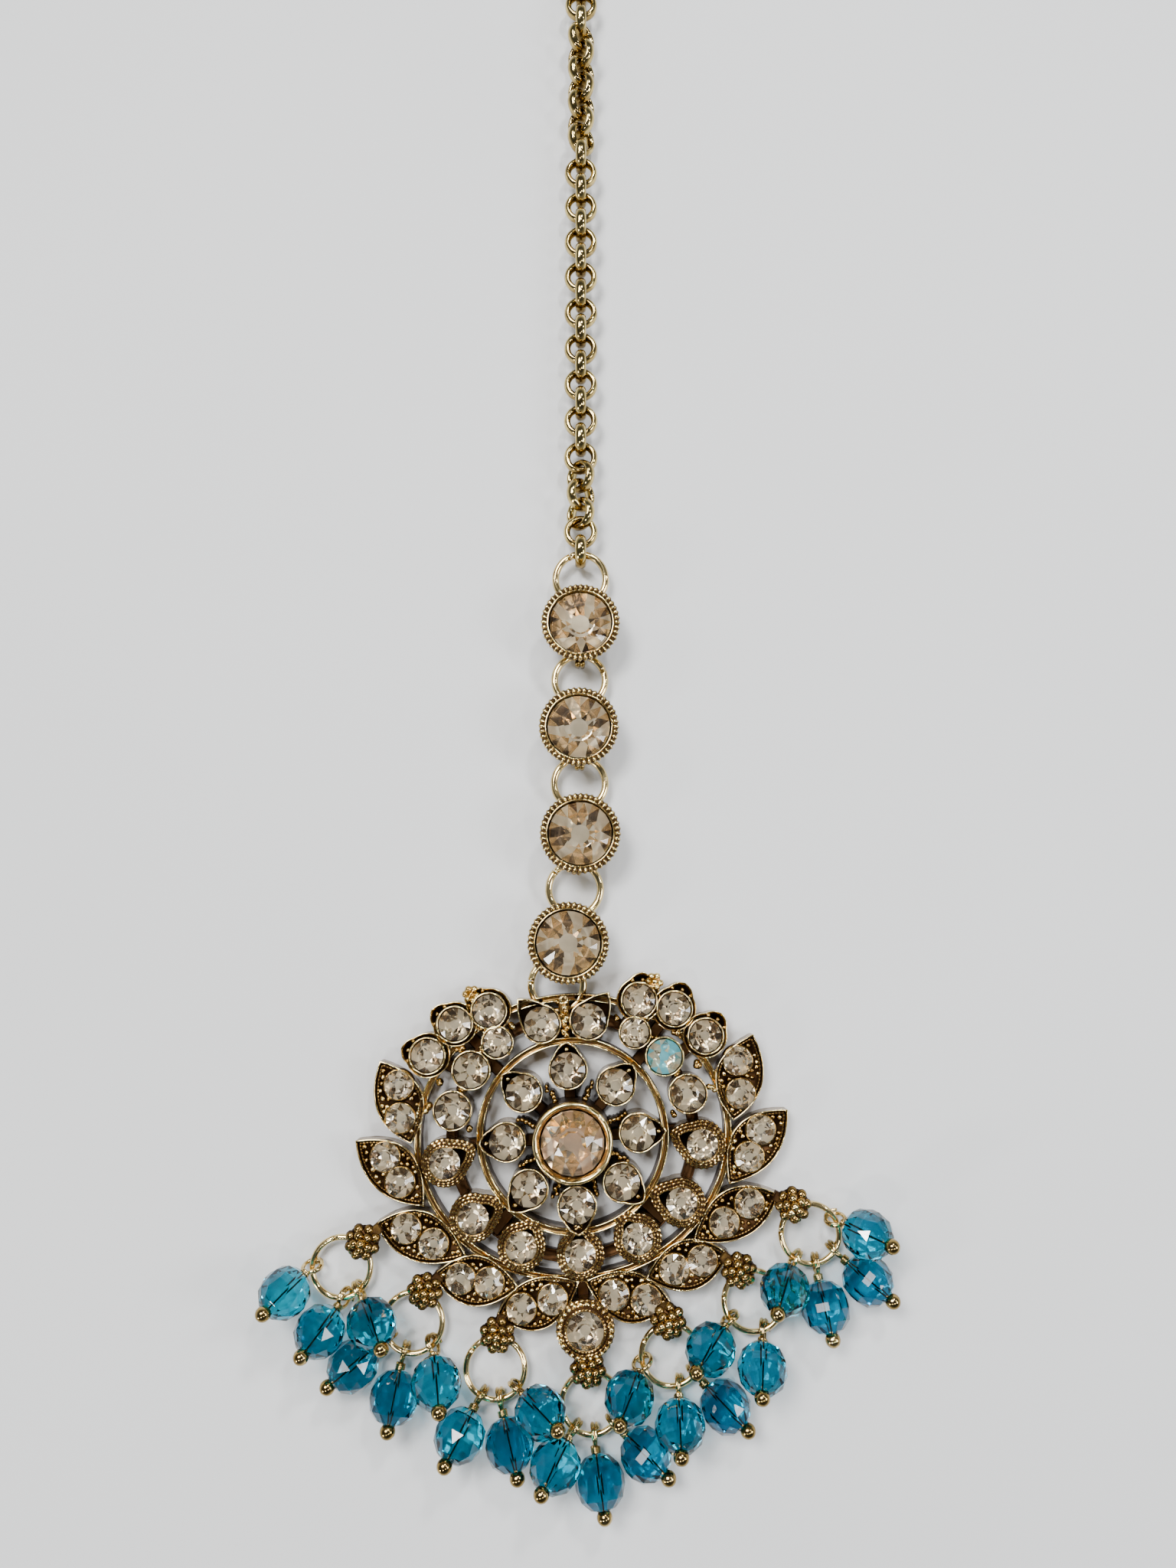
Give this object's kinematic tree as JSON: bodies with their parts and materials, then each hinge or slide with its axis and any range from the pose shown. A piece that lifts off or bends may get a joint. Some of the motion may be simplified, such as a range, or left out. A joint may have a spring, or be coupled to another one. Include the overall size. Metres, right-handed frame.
{
  "type": "maang tikka",
  "caption": "Forehead jewel lying flat: a round-link chain with a hair hook, round crystal collets, an openwork flower pendant and glass bead drops on rings.",
  "frame": {"origin": "on the pendant's flat back, under the middle of its centre stone", "axes": "+Y runs from the pendant up the chain to the hook, +Z out of the stones, +X to the right seen from above"},
  "size_m": [0.0776, 0.2249, 0.0091],
  "materials": {
    "chain_gold": "polished pale gold plate with a little tarnish between the links",
    "ring_gold": "polished pale gold plate",
    "setting_gold": "antique gold plate with a milled rim",
    "antique_gold": "cast antique gold with brown patina in the recesses",
    "champagne_crystal": "cut champagne crystal, foiled at the back",
    "teal_glass": "faceted transparent teal glass on brass ball pins"
  },
  "bodies": {
    "root": {"chain": "chain_gold", "hair_hook": "chain_gold", "top_ring": "ring_gold", "pendant_ring": "ring_gold", "connector_ring_1": "ring_gold", "connector_ring_2": "ring_gold", "connector_ring_3": "ring_gold", "setting_1": "setting_gold", "setting_2": "setting_gold", "setting_3": "setting_gold", "setting_4": "setting_gold", "setting_stone_1": "champagne_crystal", "setting_stone_2": "champagne_crystal", "setting_stone_3": "champagne_crystal", "setting_stone_4": "champagne_crystal", "pendant_frame": "antique_gold", "centre_stone": "champagne_crystal", "jump_ring_a": "ring_gold", "jump_ring_b": "ring_gold", "jump_ring_c": "ring_gold", "jump_ring_d": "ring_gold", "jump_ring_e": "ring_gold", "jump_ring_f": "ring_gold", "jump_ring_g": "ring_gold", "bead_drop_01": "teal_glass", "bead_drop_02": "teal_glass", "bead_drop_03": "teal_glass", "bead_drop_04": "teal_glass", "bead_drop_05": "teal_glass", "bead_drop_06": "teal_glass", "bead_drop_07": "teal_glass", "bead_drop_08": "teal_glass", "bead_drop_09": "teal_glass", "bead_drop_10": "teal_glass", "bead_drop_11": "teal_glass", "bead_drop_12": "teal_glass", "bead_drop_13": "teal_glass", "bead_drop_14": "teal_glass", "bead_drop_15": "teal_glass", "bead_drop_16": "teal_glass", "bead_drop_17": "teal_glass", "bead_drop_18": "teal_glass", "bead_drop_19": "teal_glass", "bead_drop_20": "teal_glass", "bead_drop_21": "teal_glass"}
  },
  "joints": []
}
